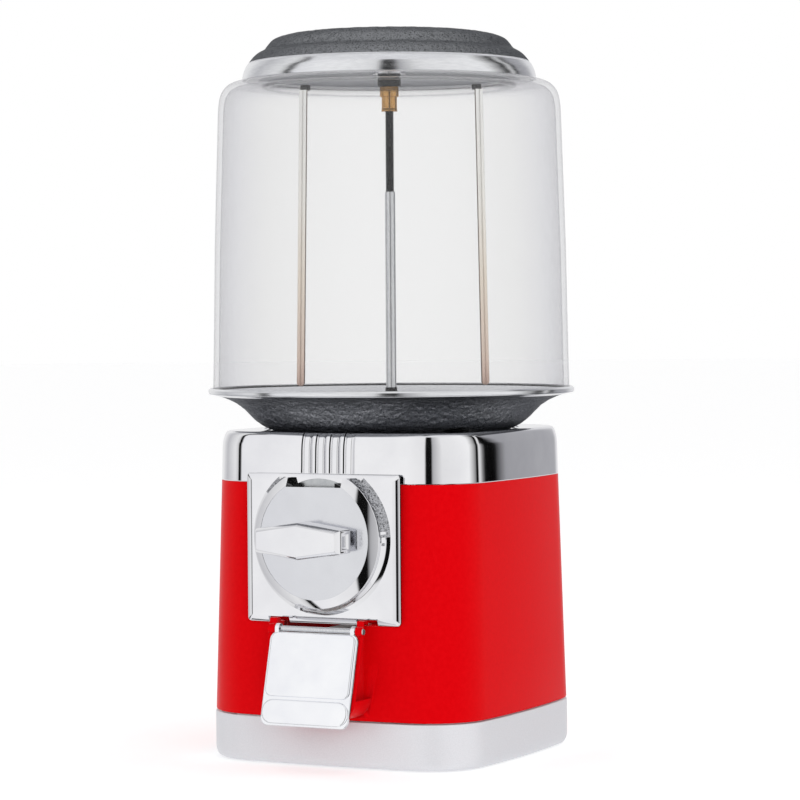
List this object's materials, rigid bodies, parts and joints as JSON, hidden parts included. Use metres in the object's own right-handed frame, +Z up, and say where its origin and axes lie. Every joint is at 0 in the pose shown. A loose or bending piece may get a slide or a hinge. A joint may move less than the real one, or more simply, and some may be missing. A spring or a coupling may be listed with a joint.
{
  "type": "gumball machine",
  "caption": "Bulk gumball vending head with a square red housing, chrome coin mechanism and chute door, clear cylindrical canister and a domed lid with a lock.",
  "frame": {"origin": "on the standing surface, on the axis of the centre rod, midway between the stand bolts", "axes": "+Z up along the centre rod; -Y is the front, with the handle and the door; +X is to the right seen from the front"},
  "size_m": [0.2096, 0.2213, 0.41],
  "materials": {
    "base_paint": "satin silver enamel on cast metal",
    "foot_rubber": "moulded black rubber",
    "bright_steel": "drawn bright steel",
    "black_steel": "black oxide steel",
    "zinc_steel": "bright zinc plated pressed steel",
    "spring_steel": "oiled music wire",
    "red_paint": "gloss red powder coat on cast metal",
    "chrome_plate": "polished chrome plate",
    "hammered_metal": "dark chromed casting with a hammered skin",
    "lid_metal": "chromed casting, hammered dome and polished band",
    "lock_chrome": "polished chrome",
    "gear_brass": "machined brass",
    "white_plastic": "moulded white acetal",
    "seal_rubber": "black rubber",
    "clear_plastic": "clear moulded polycarbonate"
  },
  "bodies": {
    "base": {"base_pan": "base_paint", "rubber_feet": "foot_rubber", "centre_rod": "bright_steel", "rod_stud": "black_steel", "rod_nuts": "zinc_steel", "rod_ferrule": "black_steel"},
    "housing": {"body_housing": "red_paint", "body_cap": "chrome_plate", "hopper_bowl": "hammered_metal", "outlet_guard": "bright_steel", "canister_gasket": "seal_rubber", "ball_chute": "white_plastic", "face_plate": "chrome_plate", "coin_backing_plate": "zinc_steel", "mech_back_plate": "zinc_steel", "mech_spacers": "zinc_steel", "mech_screws": "black_steel", "mech_clamps": "zinc_steel", "idler_stud": "bright_steel", "pawl_pins": "bright_steel", "pawl_spring": "spring_steel", "door_pin": "bright_steel"},
    "handle": {"handle": "chrome_plate", "handle_shaft": "bright_steel", "coin_carrier": "zinc_steel", "ratchet_wheel": "zinc_steel", "drive_pinion": "gear_brass", "shaft_clip": "black_steel"},
    "idler": {"idler_gear": "gear_brass"},
    "wheel": {"gumball_wheel": "white_plastic", "wheel_gear": "gear_brass"},
    "ratchet_pawl": {"ratchet_pawl": "zinc_steel"},
    "coin_pawl": {"coin_pawl": "zinc_steel"},
    "door": {"door_flap": "chrome_plate"},
    "canister": {"canister": "clear_plastic", "label_rails": "clear_plastic", "mouth_seal": "seal_rubber"},
    "lid": {"lid": "lid_metal", "lid_gasket": "seal_rubber", "lock_cylinder": "lock_chrome", "lock_collar": "black_steel"},
    "lock": {"lock_plug": "gear_brass", "lock_nut": "gear_brass"}
  },
  "joints": [
    {"name": "housing_lift", "type": "slide", "parent": "base", "child": "housing", "axis": [0, 0, 1], "range_m": [0, 0.12]},
    {"name": "handle_turn", "type": "hinge", "parent": "housing", "child": "handle", "pos_m": [0, -0.08, 0.127], "axis": [0, 1, 0], "continuous": true},
    {"name": "idler_turn", "type": "hinge", "parent": "housing", "child": "idler", "pos_m": [0, -0.037, 0.1611], "axis": [0, 1, 0], "continuous": true},
    {"name": "wheel_turn", "type": "hinge", "parent": "housing", "child": "wheel", "pos_m": [0, 0, 0.19], "axis": [0, 0, 1], "continuous": true},
    {"name": "ratchet_pawl_swing", "type": "hinge", "parent": "housing", "child": "ratchet_pawl", "pos_m": [-0.026, -0.076, 0.105], "axis": [0, 1, 0], "range_deg": [0, 6]},
    {"name": "coin_pawl_swing", "type": "hinge", "parent": "housing", "child": "coin_pawl", "pos_m": [0.026, -0.08, 0.149], "axis": [0, 1, 0], "range_deg": [0, 6]},
    {"name": "door_swing", "type": "hinge", "parent": "housing", "child": "door", "pos_m": [0, -0.0925, 0.077], "axis": [-1, 0, 0], "range_deg": [0, 65]},
    {"name": "canister_lift", "type": "slide", "parent": "housing", "child": "canister", "axis": [0, 0, 1], "range_m": [0, 0.19]},
    {"name": "lid_lift", "type": "slide", "parent": "canister", "child": "lid", "axis": [0, 0, 1], "range_m": [0, 0.06]},
    {"name": "lock_turn", "type": "hinge", "parent": "lid", "child": "lock", "pos_m": [0, 0, 0.39], "axis": [0, 0, 1], "continuous": true}
  ],
  "couplings": [
    {"joint": "idler_turn", "follows": "handle_turn", "ratio": -0.22222},
    {"joint": "wheel_turn", "follows": "handle_turn", "ratio": -0.16667}
  ]
}
